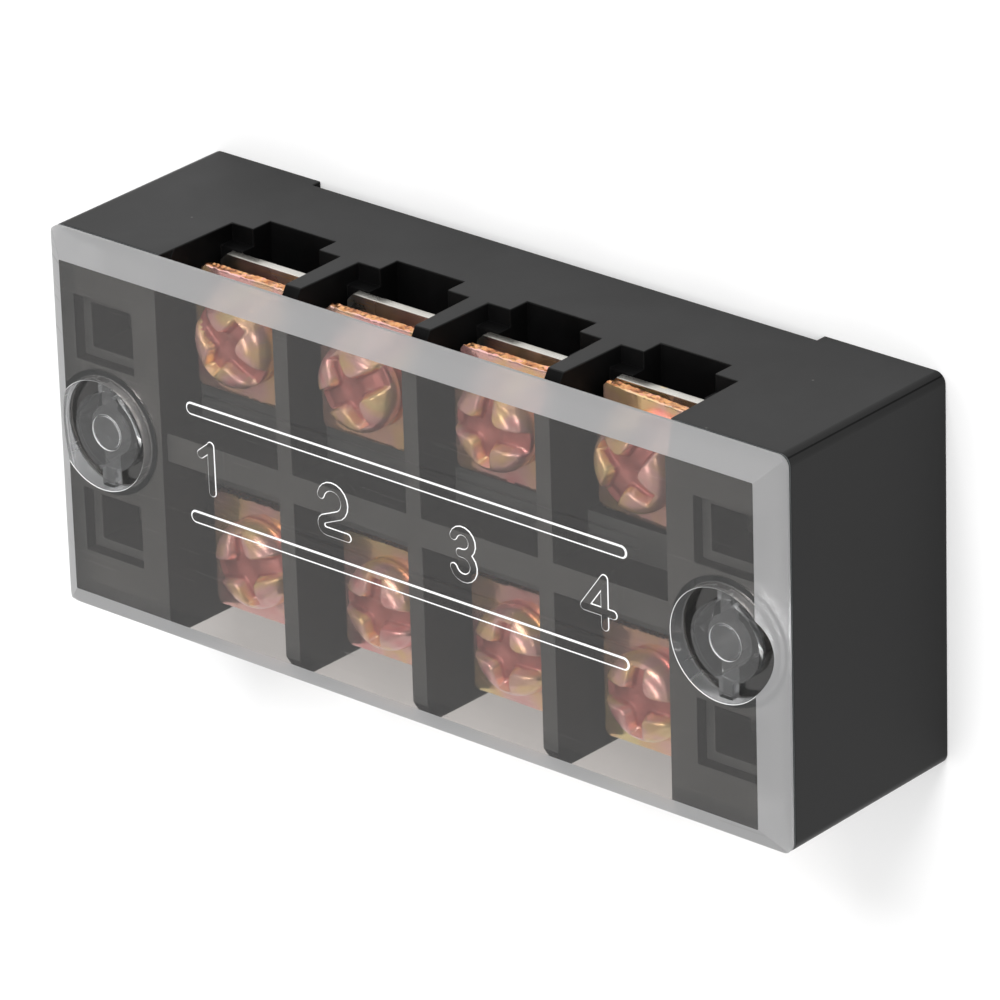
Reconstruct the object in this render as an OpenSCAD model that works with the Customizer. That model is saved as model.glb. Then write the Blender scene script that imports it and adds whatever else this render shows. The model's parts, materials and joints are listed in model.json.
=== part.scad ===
// Barrier terminal strip: one black base, a clear snap-on cover, and for each pole a contact strip
// with a screw and a clamp plate at both ends.
// Frame: the feet stand on Z = 0, +Z points out of the cover, +X runs along the row of poles, and
// the origin is the centre of the mounting face. Row a is on the +Y side, row b on the -Y side.

/* [Poles] */
// Number of poles
poles = 4; // [1:1:4]
// Distance from pole to pole
pitch = 12.5; // [12.2:0.1:15]
// Thickness of a barrier at the wire mouth's floor
barrier_foot = 1.8; // [1.4:0.1:2.1]
// Thickness of a barrier at its top
barrier_top = 1.45; // [1:0.05:1.75]
// How far the barrier tops lie below the end blocks
barrier_drop = 0.6; // [0.3:0.1:1]
// Height of the upright end of a barrier below its top
barrier_nose = 0.95; // [0.3:0.05:1.5]
// Length of the slope above that end for each millimetre of its fall
nose_slope = 1.5; // [1:0.1:2]
// Thickness of the rib between the two rows
rib_t = 2.35; // [1.6:0.05:3]

/* [Base] */
// Width over both long sides
body_w = 31; // [30.4:0.1:36]
// Height of the end blocks above the mounting face
block_h = 17.65; // [17.4:0.05:20]
// Length of an end block
block_l = 10.9; // [10.3:0.1:14]
// Radius of the upright corners
corner_r = 0.9; // [0.4:0.1:1.5]
// Height of the recess between the two feet
foot_gap = 0.9; // [0.4:0.1:1.5]
// Height of the ledges that carry the strips, above the mounting face
ledge_h = 11.2; // [10.9:0.1:11.4]
// Drop from the ledges to the wire mouth's floor
mouth_drop = 1.3; // [0.6:0.1:2]
// Drop from the ledges to the floor of the channel under the screws
channel_drop = 3.2; // [2.4:0.1:4]
// Width of that channel
channel_w = 6.5; // [5.4:0.1:7.5]
// Thickness of that bridge
bridge_t = 1.1; // [0.6:0.1:1.5]
// Bore of the blind hole for a screw's end
tip_bore = 5; // [4.6:0.1:5.2]
// Room between a screw's end and the floor of its blind hole
tip_room = 1.4; // [0.6:0.1:2.4]

/* [Mounting] */
// Distance from a mounting hole's centre to the end of the base
mount_inset = 5.3; // [5.2:0.1:6]
// Bore of a mounting hole
mount_bore = 4.5; // [3.5:0.1:5.5]
// Bore of its counterbore
mount_head_bore = 8.9; // [8.2:0.1:9.2]
// Thickness left under the counterbore
mount_floor = 6; // [3:0.1:7]
// Length of a cored pocket beside the counterbore
pocket_l = 5.8; // [3:0.1:6.4]
// Width of that pocket
pocket_w = 5.2; // [3:0.1:5.6]
// Distance from the base's centre line to that pocket
pocket_from = 5.3; // [5.2:0.1:6.5]
// Depth of that pocket
pocket_depth = 5; // [2:0.1:9]
// Width of the ledge around its mouth
pocket_ledge = 0.8; // [0.4:0.1:1]
// Depth of that ledge
pocket_ledge_depth = 1; // [0.5:0.1:1.5]

/* [Contact strips] */
// Width of a strip
strip_w = 9.5; // [8.5:0.1:9.9]
// Distance from a strip's end to the base's side
strip_inset = 1.5; // [1.2:0.1:2]
// Thickness of a strip
strip_t = 0.8; // [0.6:0.05:1]
// Cut-off corner of a strip
strip_corner = 0.6; // [0.2:0.1:1]

/* [Screws and clamp plates] */
// Distance from a row of screws to the base's side
screw_inset = 6.3; // [6.1:0.1:6.4]
// Diameter of a screw's thread
thread_d = 4; // [3.5:0.1:4]
// Length of a screw below its head
shank_l = 8; // [6:0.1:8.6]
// Chamfer at a screw's end
tip_chamfer = 0.5; // [0.2:0.1:0.9]
// Diameter of a screw's head
head_d = 7; // [6:0.1:7.4]
// Height of that head
head_h = 2.4; // [1.8:0.1:2.6]
// Radius of its shoulder
shoulder_r = 0.8; // [0.3:0.05:1.2]
// Crown of its top
crown_h = 0.15; // [0.05:0.05:0.3]
// Width of the slot
slot_w = 1.45; // [0.8:0.05:1.6]
// Depth of the slot
slot_depth = 1.1; // [0.6:0.1:1.5]
// Length of the cross arms
cross_l = 4.6; // [3:0.1:5.5]
// Width of the cross arms
cross_w = 1.5; // [0.9:0.05:1.8]
// Width of the cross arms at their floor
cross_floor_w = 0.8; // [0.2:0.1:0.9]
// Depth of the cross arms
cross_depth = 1.5; // [0.8:0.1:1.8]
// Width of a clamp plate
clamp_w = 9.4; // [8.2:0.1:9.8]
// Length of a clamp plate
clamp_l = 9.6; // [8.2:0.1:9.8]
// Thickness of a clamp plate
clamp_t = 0.9; // [0.7:0.05:1]
// Bore of a clamp plate
clamp_bore = 4.5; // [4.3:0.05:4.8]
// Cut-off corner of a clamp plate
clamp_corner = 0.35; // [0.1:0.05:1]

/* [Cover] */
// Thickness of the cover's plate
plate_t = 1.6; // [1.2:0.05:2.2]
// Upright edge below the cover's bevel
rim_edge = 0.25; // [0.1:0.05:0.6]
// Width of that bevel
bevel_w = 2; // [1:0.1:2.5]
// Height of the ring that the cover stands on around each hole
seat_h = 0.15; // [0.1:0.05:0.4]
// Width of that ring
seat_w = 0.55; // [0.4:0.05:0.7]
// Round opening at each end
eye_d = 8.8; // [8:0.1:9]
// Disc in that opening
disc_d = 6.2; // [5:0.1:6.8]
// Thickness of the disc
disc_t = 1.1; // [0.8:0.1:1.5]
// How far the disc lies below the cover's face
disc_drop = 0.7; // [0.2:0.1:0.9]
// Mark in the middle of the disc
disc_mark_d = 2.9; // [1.5:0.1:4]
// Width and depth of the ring sunk in that disc
disc_ring = 0.15; // [0.05:0.05:0.3]
// Width of the webs that hold the disc
web_w = 1.2; // [0.8:0.1:2]
// Length of the plug below the disc
plug_l = 6.6; // [4:0.1:8]
// Wall of the plug
plug_wall = 1.1; // [0.8:0.1:1.6]
// Split between the plug's prongs
plug_split = 1.6; // [0.8:0.1:2.4]
// How high a barb's crest stands above the plug's end
barb_h = 1.5; // [0.8:0.1:2.5]
// Height of its upright crest
barb_land = 0.15; // [0.05:0.05:0.4]
// Length of the two raised label bars
bar_l = 42.2; // [20:0.1:43]
// Width of a label bar at its foot
bar_w = 1.05; // [0.6:0.05:1.5]
// Slope of its sides, measured across the bar
bar_side = 0.15; // [0.05:0.05:0.25]
// Height of a label bar
bar_h = 0.06; // [0.04:0.02:0.3]
// Distance between the two bars' middles
bar_gap = 8.8; // [6:0.1:12]
// Offset of the pair of bars from the cover's middle, along and across the strip
bar_shift = [0.4, 0.45];

/* [Clearances] */
// Between a strip and its slot in the base
strip_play = 0.1; // [0.05:0.05:0.2]
// Between a screw and its strip, on the radius
thread_play = 0.08; // [0.05:0.01:0.1]
// Between the plug's barbs and the counterbore, on the radius
plug_play = 0.12; // [0.08:0.02:0.3]
// Between a tilted plate and what it touches
touch_play = 0.02; // [0.01:0.01:0.05]
// From the bridge over a strip to the clamp plates
bridge_play = 0.4; // [0.3:0.1:1]

/* [As stored] */
// How far the screws of row a are backed out
backed_a = [1.6, 2, 1.3, 0];
// How far the screws of row b are backed out
backed_b = [0.5, 0, 0, 0];
// Gap between plate and head, row a
slack_a = [0.15, 0.35, 0.15, 0];
// Gap between plate and head, row b
slack_b = [0, 0, 0, 0];
// Angle of the slots of row a from +X
slot_a = [-36, 30, -6, 55];
// Angle of the slots of row b from +X
slot_b = [17, -4, -3, -3];
// Tilt of the plates of row a, right edge up
tilt_a = [0, 0, 0, 4.5];
// Tilt of the plates of row b, right edge up
tilt_b = [0, 0, 0, 0];

/* [Hidden] */
$fn = 64;
ROWS = ["a", "b"];
cut = 1;                                              // what a cutter sticks out of the solid it cuts
web_root = 0.15;                                      // how far a web runs into the disc and the plate
shoulder_steps = 8;                                   // straight pieces in a screw head's rounded shoulder
inner_l = poles * pitch - barrier_foot;               // between the end blocks, at the mouths' floor
body_l = inner_l + 2 * block_l;
mount_x = body_l / 2 - mount_inset;
screw_y = body_w / 2 - screw_inset;
bridge_half = screw_y - clamp_l / 2 - bridge_play;    // half the bridge that covers a strip under the rib
strip_l = body_w - 2 * strip_inset;
mouth_h = ledge_h - mouth_drop;
channel_h = ledge_h - channel_drop;
barrier_h = block_h - barrier_drop;
mouth_w = pitch - barrier_foot;
draft = (barrier_foot - barrier_top) / 2 / (barrier_h - mouth_h);
strip_top = ledge_h + strip_t;
slot_top = strip_top + strip_play;                    // roof of the slot that a strip lies in
strip_hole_d = thread_d + 2 * thread_play;
head_seat = strip_top + clamp_t;                      // underside of a tight head
tip_h = head_seat - shank_l;
cover_h = block_h + seat_h;                           // underside of the cover's plate
face_h = cover_h + plate_t;
disc_top = face_h - disc_drop;
plug_top = disc_top - disc_t;
barb_d = mount_head_bore - 2 * plug_play;

function pole_x(p) = (p - (poles + 1) / 2) * pitch;
function side(row) = row == 0 ? 1 : -1;
function backed(p, row) = (row == 0 ? backed_a : backed_b)[p - 1];
function slack(p, row) = (row == 0 ? slack_a : slack_b)[p - 1];
function slot_angle(p, row) = (row == 0 ? slot_a : slot_b)[p - 1];
function tilt(p, row) = (row == 0 ? tilt_a : tilt_b)[p - 1];
// A tilted plate stands on its low edge, and the head above it rests on the high side.
function edge_rise(a) = a == 0 ? 0 : clamp_w / 2 * sin(a) + touch_play;
function head_rise(a) =
  a == 0 ? 0 : edge_rise(a) + clamp_t * (1 / cos(a) - 1) + head_d / 2 * tan(a) + touch_play;

// Base ------------------------------------------------------------------------------------------

// A block with rounded upright corners, standing on the XY plane.
module rounded_block(l, w, r, h) {
  translate([-l / 2 + r, -w / 2, 0]) cube([l - 2 * r, w, h]);
  translate([-l / 2, -w / 2 + r, 0]) cube([l, w - 2 * r, h]);
  for (sx = [-1, 1], sy = [-1, 1])
    translate([sx * (l / 2 - r), sy * (w / 2 - r), 0]) cylinder(h = h, r = r);
}

// A drafted well from height z0 to above the base, from y0 to y1. Its walls lean back upwards.
module well(z0, y0, y1) {
  top = block_h + cut;
  low = mouth_w / 2 + draft * (z0 - mouth_h);
  high = mouth_w / 2 + draft * (top - mouth_h);
  translate([0, y1, 0]) rotate([90, 0, 0])
    linear_extrude(y1 - y0) polygon([[-low, z0], [low, z0], [high, top], [-high, top]]);
}

// Everything that one half of a pole takes out of the base, on the +Y side.
module half_pole_cuts() {
  out = body_w / 2 + cut;
  strip_end = strip_l / 2 + strip_play;
  well(slot_top + bridge_t, rib_t / 2, bridge_half + cut);
  well(ledge_h, bridge_half, strip_end);
  well(mouth_h, strip_end, out);
  // Slot for the strip, under the bridge.
  translate([-strip_w / 2 - strip_play, -cut, ledge_h])
    cube([strip_w + 2 * strip_play, bridge_half + 2 * cut, strip_t + strip_play]);
  // Channel under the strip, open to the wire mouth.
  translate([-channel_w / 2, bridge_half, channel_h]) cube([channel_w, out - bridge_half, channel_drop + cut]);
  // Blind hole for the screw's end.
  translate([0, screw_y, tip_h - tip_room]) cylinder(h = channel_h - tip_h + tip_room + cut, d = tip_bore);
}

// The barriers and the rib end below the end blocks, and the barriers' ends slope down to the sides.
module top_cuts() {
  inner_top_l = inner_l + 2 * draft * (barrier_h - mouth_h);
  translate([-inner_top_l / 2, -body_w / 2 - cut, barrier_h])
    cube([inner_top_l, body_w + 2 * cut, barrier_drop + cut]);
  nose = barrier_nose + cut;
  for (s = [-1, 1])
    translate([-inner_top_l / 2, 0, 0]) rotate([90, 0, 90]) linear_extrude(inner_top_l)
      polygon([
        [s * (body_w / 2 - nose_slope * barrier_nose), barrier_h],
        [s * (body_w / 2 + nose_slope * cut), barrier_h - nose],
        [s * (body_w / 2 + nose_slope * cut), barrier_h + cut],
        [s * (body_w / 2 - nose_slope * barrier_nose), barrier_h + cut]
      ]);
}

module mounting_hole() {
  translate([0, 0, -cut]) cylinder(h = mount_floor + 2 * cut, d = mount_bore);
  translate([0, 0, mount_floor]) cylinder(h = block_h - mount_floor + cut, d = mount_head_bore);
}

module pocket() {
  translate([-pocket_l / 2, pocket_from, block_h - pocket_ledge_depth])
    cube([pocket_l, pocket_w, pocket_ledge_depth + cut]);
  translate([-pocket_l / 2 + pocket_ledge, pocket_from + pocket_ledge, block_h - pocket_depth])
    cube([pocket_l - 2 * pocket_ledge, pocket_w - 2 * pocket_ledge, pocket_depth]);
}

module base() {
  color([0.08, 0.08, 0.085]) difference() {
    rounded_block(body_l, body_w, corner_r, block_h);
    translate([-inner_l / 2, -body_w / 2 - cut, -cut]) cube([inner_l, body_w + 2 * cut, foot_gap + cut]);
    top_cuts();
    for (p = [1:poles], row = [0, 1])
      translate([pole_x(p), 0, 0]) mirror([0, row, 0]) half_pole_cuts();
    for (s = [-1, 1]) translate([s * mount_x, 0, 0]) {
      mounting_hole();
      for (row = [0, 1]) mirror([0, row, 0]) pocket();
    }
  }
}

// Metal parts -----------------------------------------------------------------------------------

// A flat bar with its four corners cut off, centred on the XY plane's origin.
module cornered_bar(l, w, c, t) {
  linear_extrude(t) polygon([
    [-w / 2 + c, -l / 2], [w / 2 - c, -l / 2], [w / 2, -l / 2 + c], [w / 2, l / 2 - c],
    [w / 2 - c, l / 2], [-w / 2 + c, l / 2], [-w / 2, l / 2 - c], [-w / 2, -l / 2 + c]
  ]);
}

module busbar(p) {
  color([0.78, 0.76, 0.72]) translate([pole_x(p), 0, ledge_h]) difference() {
    cornered_bar(strip_l, strip_w, strip_corner, strip_t);
    for (row = [0, 1])
      translate([0, side(row) * screw_y, -cut]) cylinder(h = strip_t + 2 * cut, d = strip_hole_d);
  }
}

module clamp(p, row) {
  a = tilt(p, row);
  lift = strip_top + backed(p, row) - slack(p, row) + edge_rise(a);
  color([0.80, 0.60, 0.50]) translate([pole_x(p), side(row) * screw_y, lift]) rotate([0, -a, 0]) difference() {
    cornered_bar(clamp_l, clamp_w, clamp_corner, clamp_t);
    translate([0, 0, -cut]) cylinder(h = clamp_t + 2 * cut, d = clamp_bore);
  }
}

// Head and shank are one revolved profile. The crown is a flat cone.
module screw_blank() {
  flat = head_d / 2 - shoulder_r;
  rotate_extrude() polygon(concat(
    [[0, -shank_l], [thread_d / 2 - tip_chamfer, -shank_l], [thread_d / 2, -shank_l + tip_chamfer],
     [thread_d / 2, 0], [head_d / 2, 0]],
    [for (i = [0:shoulder_steps]) let (b = 90 * i / shoulder_steps)
      [flat + shoulder_r * cos(b), head_h - crown_h - shoulder_r * (1 - sin(b))]],
    [[0, head_h]]
  ));
}

module screw(p, row) {
  lift = head_seat + backed(p, row) + head_rise(tilt(p, row));
  color([0.80, 0.62, 0.45]) translate([pole_x(p), side(row) * screw_y, lift])
    rotate([0, 0, slot_angle(p, row)]) difference() {
      screw_blank();
      translate([-head_d / 2 - cut, -slot_w / 2, head_h - slot_depth])
        cube([head_d + 2 * cut, slot_w, slot_depth + cut]);
      for (turn = [0, 90]) rotate([0, 0, turn])
        translate([-cross_l / 2, -cross_w / 2, head_h - crown_h - cross_depth])
          rotate([90, 0, 90]) linear_extrude(cross_l)
            polygon([[(cross_w - cross_floor_w) / 2, 0], [(cross_w + cross_floor_w) / 2, 0],
              [cross_w, cross_depth + crown_h + cut], [0, cross_depth + crown_h + cut]]);
    }
}

// Cover -----------------------------------------------------------------------------------------

// The plate with its bevel on all four sides: two long profiles cross, and their corners mitre.
module bevelled_plate() {
  module profile(half, reach) {
    linear_extrude(reach, center = true) polygon([
      [-half, 0], [half, 0], [half, rim_edge], [half - bevel_w, plate_t], [-half + bevel_w, plate_t], [-half, rim_edge]
    ]);
  }
  intersection() {
    rotate([90, 0, 0]) profile(body_l / 2, body_w + 2 * cut);
    rotate([90, 0, 90]) profile(body_w / 2, body_l + 2 * cut);
    rounded_block(body_l, body_w, corner_r, plate_t);
  }
}

// Disc, webs and split plug, around the hole's axis, at their heights above the mounting face.
module plug() {
  tip = plug_top - plug_l;
  crest = tip + barb_h;
  neck_r = disc_d / 2;
  difference() {
    translate([0, 0, plug_top]) cylinder(h = disc_t, d = disc_d);
    translate([0, 0, disc_top - disc_ring]) difference() {
      cylinder(h = disc_ring + cut, d = disc_mark_d);
      translate([0, 0, -cut]) cylinder(h = disc_ring + 3 * cut, d = disc_mark_d - 2 * disc_ring);
    }
  }
  for (s = [-1, 1]) translate([-web_w / 2, s > 0 ? neck_r - web_root : -eye_d / 2 - web_root, cover_h])
    cube([web_w, eye_d / 2 - neck_r + 2 * web_root, disc_top - cover_h]);
  difference() {
    rotate_extrude() polygon([
      [neck_r - plug_wall, tip], [neck_r, tip], [barb_d / 2, crest], [barb_d / 2, crest + barb_land],
      [neck_r, crest + barb_h], [neck_r, plug_top + disc_t / 2], [neck_r - plug_wall, plug_top + disc_t / 2]
    ]);
    translate([-plug_split / 2, -barb_d, tip - cut]) cube([plug_split, 2 * barb_d, plug_l + cut]);
    for (s = [-1, 1]) translate([-barb_d, s > 0 ? neck_r : -neck_r - barb_d, tip - cut])
      cube([2 * barb_d, barb_d, plug_l + cut]);
  }
}

module label_bar() {
  straight = bar_l - bar_w;
  rotate([90, 0, 90]) linear_extrude(straight, center = true) polygon([
    [-bar_w / 2, 0], [bar_w / 2, 0], [bar_w / 2 - bar_side, bar_h], [-bar_w / 2 + bar_side, bar_h]
  ]);
  for (s = [-1, 1]) translate([s * straight / 2, 0, 0])
    cylinder(h = bar_h, d1 = bar_w, d2 = bar_w - 2 * bar_side);
}

module cover() {
  color([0.85, 0.88, 0.90, 0.45]) {
    difference() {
      translate([0, 0, cover_h]) bevelled_plate();
      for (s = [-1, 1]) translate([s * mount_x, 0, cover_h - cut]) cylinder(h = plate_t + 2 * cut, d = eye_d);
    }
    for (s = [-1, 1]) translate([s * mount_x, 0, 0]) {
      plug();
      translate([0, 0, block_h]) difference() {
        cylinder(h = seat_h, d = mount_head_bore + 2 * seat_w);
        translate([0, 0, -cut]) cylinder(h = seat_h + 2 * cut, d = mount_head_bore);
      }
    }
    for (s = [-1, 1]) translate([bar_shift[0], bar_shift[1] + s * bar_gap / 2, face_h]) label_bar();
  }
}

// Parts -----------------------------------------------------------------------------------------

base();
cover();
for (p = [1:poles]) busbar(p);
for (r = [0, 1], p = [1:poles]) {
  clamp(p, r);
  screw(p, r);
}
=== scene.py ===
import json
import math

import bmesh
import bpy
from mathutils import Matrix, Vector, noise

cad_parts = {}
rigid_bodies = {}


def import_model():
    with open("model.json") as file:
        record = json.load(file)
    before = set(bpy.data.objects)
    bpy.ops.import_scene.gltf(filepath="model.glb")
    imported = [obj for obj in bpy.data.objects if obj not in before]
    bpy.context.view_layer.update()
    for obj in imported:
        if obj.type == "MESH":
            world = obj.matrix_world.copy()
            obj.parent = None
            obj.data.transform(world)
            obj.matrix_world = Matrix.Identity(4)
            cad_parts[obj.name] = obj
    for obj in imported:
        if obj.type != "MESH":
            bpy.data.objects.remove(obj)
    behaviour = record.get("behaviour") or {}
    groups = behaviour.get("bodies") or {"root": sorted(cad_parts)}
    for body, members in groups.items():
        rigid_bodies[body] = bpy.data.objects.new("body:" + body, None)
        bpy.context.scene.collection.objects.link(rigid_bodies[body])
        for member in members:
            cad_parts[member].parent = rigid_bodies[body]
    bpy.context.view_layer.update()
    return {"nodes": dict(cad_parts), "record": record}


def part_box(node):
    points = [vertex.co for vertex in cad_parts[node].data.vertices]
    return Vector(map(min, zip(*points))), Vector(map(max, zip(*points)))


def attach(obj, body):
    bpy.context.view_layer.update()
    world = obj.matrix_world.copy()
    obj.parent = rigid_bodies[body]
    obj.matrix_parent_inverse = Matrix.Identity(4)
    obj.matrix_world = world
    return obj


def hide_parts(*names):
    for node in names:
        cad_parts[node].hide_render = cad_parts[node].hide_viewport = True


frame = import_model()

# %% [markdown]
# # A barrier terminal strip
# A black moulded base carries four poles. Each pole is a flat contact strip with a screw and a square
# clamp plate at both ends, and a clear cover with a bevelled rim snaps over the whole row. Some of the
# screws are tight and some are backed out. The frame already holds every piece at its real size. The
# cells below make a dressed copy of each plain piece, with what the real one has, such as softened edges,
# a thread, raised numerals or a plated film, and let it stand for the plain one.

# %% Sizes that the frame gives
MM = 0.001
POLES = (1, 2, 3, 4)
SPOTS = [f"{pole}{row}" for row in "ab" for pole in POLES]
EYE_X = frame["record"]["mounts"][0]["dims"]["spacing_x_mm"] / 2 * MM

# %% [markdown]
# ## The view
# A long lens from above one corner keeps the strip's edges almost parallel, as a catalogue picture
# does. The camera is set by where it aims, its direction as two angles, its distance, and how far it
# is rolled: the roll lays the row of poles across the picture.

# %% Camera
AIM = Vector((3.283, 1.195, 12.0)) * MM
DISTANCE = 576.5 * MM
AZIMUTH, ELEVATION, ROLL = (math.radians(a) for a in (35.156, 43.093, -117.474))
LENS, SENSOR = 285.2, 36


def aimed_camera():
    back = Vector((math.cos(ELEVATION) * math.cos(AZIMUTH), math.cos(ELEVATION) * math.sin(AZIMUTH),
                   math.sin(ELEVATION)))
    level = Vector((0, 0, 1)).cross(back).normalized()
    right = math.cos(ROLL) * level + math.sin(ROLL) * back.cross(level)
    up = back.cross(right)
    data = bpy.data.cameras.new("camera")
    data.lens, data.sensor_width = LENS, SENSOR
    camera = bpy.data.objects.new("camera", data)
    turned = Matrix((right, up, back)).transposed().to_4x4()
    camera.matrix_world = Matrix.Translation(AIM + DISTANCE * back) @ turned
    bpy.context.collection.objects.link(camera)
    return camera


bpy.context.scene.camera = aimed_camera()
bpy.context.scene.view_settings.view_transform = "Standard"
print("camera", [round(v / MM, 1) for v in bpy.context.scene.camera.location])

# %% [markdown]
# ## Working on a copy of a piece
# A piece from the frame is made of small triangles. The copy is welded together, and triangles that lie
# in one plane are dissolved into one face, so that the only edges left are real ones. Then the sharp
# edges can be rounded a little, as a mould or a press leaves them: a rounded edge catches a thin line
# of light, and a perfectly sharp one never does. A modifier could do this too, but in a bmesh the edges
# can be chosen one by one.

# %% Copy a plain piece
WELD = 0.0002 * MM
FLAT = math.radians(0.6)


def welded_copy(node):
    source = frame["nodes"][node].data
    form = bmesh.new()
    corners = [form.verts.new(vertex.co) for vertex in source.vertices]
    for face in source.polygons:
        form.faces.new([corners[i] for i in face.vertices])
    bmesh.ops.remove_doubles(form, verts=form.verts, dist=WELD)
    bmesh.ops.dissolve_limit(form, angle_limit=FLAT, verts=form.verts, edges=form.edges)
    return form


print("copies weld corners within", round(WELD / MM, 4), "mm")

# %% Round the sharp edges
def soften(form, width, segments=2, sharp=35, chosen=lambda edge: True):
    edges = [edge for edge in form.edges
             if edge.is_manifold and edge.calc_face_angle() > math.radians(sharp) and chosen(edge)]
    bmesh.ops.bevel(form, geom=edges, offset=width, segments=segments, profile=0.5, affect="EDGES",
                    clamp_overlap=False, loop_slide=True)
    bmesh.ops.remove_doubles(form, verts=form.verts, dist=WELD)
    return len(edges)


print("soften rounds edges that turn by more than", soften.__defaults__[1], "degrees")

# %% Join two loops of points by faces
def join_loops(form, lower, upper, downward=False):
    faces = []
    for j in range(len(upper)):
        k = (j + 1) % len(upper)
        if len(lower) == 1:
            corners = (lower[0], upper[j], upper[k])
        elif downward:
            corners = (lower[j], upper[j], upper[k], lower[k])
        else:
            corners = (lower[j], lower[k], upper[k], upper[j])
        faces.append(form.faces.new(corners))
    return faces


print("loops of equally many points, or a loop and its middle, can be joined")

# %% Turn a form into a finished piece
def finished(form, name, node, body, slot, materials, sharp=40):
    form.normal_update()
    mesh = bpy.data.meshes.new(name)
    form.to_mesh(mesh)
    form.free()
    for material in materials:
        mesh.materials.append(material)
    mesh.shade_smooth()
    mesh.set_sharp_from_angle(angle=math.radians(sharp))
    piece = bpy.data.objects.new(name, mesh)
    bpy.context.collection.objects.link(piece)
    piece.modifiers.new("even shading", "WEIGHTED_NORMAL").keep_sharp = True
    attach(piece, body)
    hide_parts(node)
    return piece


print("a finished piece is smooth up to", finished.__defaults__[0], "degrees")

# %% [markdown]
# ## Building materials from nodes
# Every finish below is a small node tree. A few helpers keep those trees short: one adds a node and
# sets its values, one links two nodes, one starts a material with a Principled shader, and one spreads
# colours over a ramp.

# %% Node helpers
def add(tree, kind, inputs=None, **settings):
    node = tree.nodes.new(kind)
    for name, value in settings.items():
        setattr(node, name, value)
    for name, value in (inputs or {}).items():
        node.inputs[name].default_value = value
    return node


def link(tree, source, target, out=0, into=0):
    tree.links.new(source.outputs[out], target.inputs[into])


def new_material(name, **sockets):
    material = bpy.data.materials.new(name)
    material.use_nodes = True
    tree = material.node_tree
    shader = tree.nodes["Principled BSDF"]
    for socket, value in sockets.items():
        shader.inputs[socket.replace("_", " ")].default_value = value
    return material, tree, shader


def ramp(tree, stops):
    node = tree.nodes.new("ShaderNodeValToRGB")
    while len(node.color_ramp.elements) < len(stops):
        node.color_ramp.elements.new(0.5)
    for element, (place, colour) in zip(node.color_ramp.elements, stops):
        element.position = place
        element.color = (*colour, 1)
    return node


print("node helpers:", add.__name__, link.__name__, new_material.__name__, ramp.__name__)

# %% [markdown]
# ## Effects that several finishes share
# Grain shows on plastic and on metal alike, scuffs on metal and on the clear cover, and specks on both
# plastics, only at other scales. Each is a node group: built once, with named inputs, and placed in
# each material that shows it with that material's own values. A group only puts out masks and heights,
# and each material decides what they do to its colour and gloss.

# %% A node group with named sockets
def new_group(name, inputs, outputs):
    tree = bpy.data.node_groups.new(name, "ShaderNodeTree")
    for label, value in inputs.items():
        socket = tree.interface.new_socket(label, in_out="INPUT", socket_type="NodeSocketFloat")
        socket.default_value = value
    for label in outputs:
        tree.interface.new_socket(label, in_out="OUTPUT", socket_type="NodeSocketFloat")
    given, result = add(tree, "NodeGroupInput"), add(tree, "NodeGroupOutput")
    return tree, given, result, add(tree, "ShaderNodeTexCoord")


def place_group(tree, group, values):
    node = add(tree, "ShaderNodeGroup", node_tree=group)
    for name, value in values.items():
        node.inputs[name].default_value = value
    return node


print("group helpers:", new_group.__name__, place_group.__name__)

# %% Surface grain
def surface_grain():
    tree, given, result, place = new_group(
        "surface_grain", {"Fine scale": 9000.0, "Patch scale": 160.0}, ["Height", "Patch"])
    fine = add(tree, "ShaderNodeTexNoise", {"Detail": 3.0, "Roughness": 0.6})
    patch = add(tree, "ShaderNodeTexNoise", {"Detail": 3.0, "Roughness": 0.5, "Distortion": 0.4})
    for texture, scale, out in ((fine, "Fine scale", "Height"), (patch, "Patch scale", "Patch")):
        link(tree, place, texture, "Object", "Vector")
        link(tree, given, texture, scale, "Scale")
        link(tree, texture, result, "Fac", out)
    return tree


grain = surface_grain()
print(grain.name, [item.name for item in grain.interface.items_tree])

# %% Scattered specks
def scattered_specks():
    tree, given, result, place = new_group(
        "scattered_specks", {"Scale": 900.0, "Size": 0.12, "Share": 0.1}, ["Mask"])
    cells = add(tree, "ShaderNodeTexVoronoi")
    near = add(tree, "ShaderNodeMath", operation="LESS_THAN")
    picked = add(tree, "ShaderNodeMath", operation="LESS_THAN")
    both = add(tree, "ShaderNodeMath", operation="MULTIPLY")
    link(tree, place, cells, "Object", "Vector")
    link(tree, given, cells, "Scale", "Scale")
    link(tree, cells, near, "Distance", 0)
    link(tree, given, near, "Size", 1)
    link(tree, cells, picked, "Color", 0)
    link(tree, given, picked, "Share", 1)
    link(tree, near, both, 0, 0)
    link(tree, picked, both, 0, 1)
    link(tree, both, result, 0, "Mask")
    return tree


specks = scattered_specks()
print(specks.name, [item.name for item in specks.interface.items_tree])

# %% Fine scuffs
STREAKS = ((0.5, 30.0), (2.1, 45.0))


def fine_scuffs():
    tree, given, result, place = new_group(
        "fine_scuffs", {"Scale": 60.0, "Threshold": 0.66}, ["Mask"])
    joined = add(tree, "ShaderNodeMath", operation="MAXIMUM")
    for slot, (angle, stretch) in enumerate(STREAKS):
        turned = add(tree, "ShaderNodeMapping",
                     {"Rotation": (0.0, 0.0, angle), "Scale": (1.0, stretch, 1.0)})
        streak = add(tree, "ShaderNodeTexNoise", {"Detail": 2.0, "Roughness": 0.4})
        above = add(tree, "ShaderNodeMath", operation="GREATER_THAN")
        link(tree, place, turned, "Object", "Vector")
        link(tree, turned, streak, 0, "Vector")
        link(tree, given, streak, "Scale", "Scale")
        link(tree, streak, above, "Fac", 0)
        link(tree, given, above, "Threshold", 1)
        link(tree, above, joined, 0, slot)
    link(tree, joined, result, 0, "Mask")
    return tree


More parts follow.
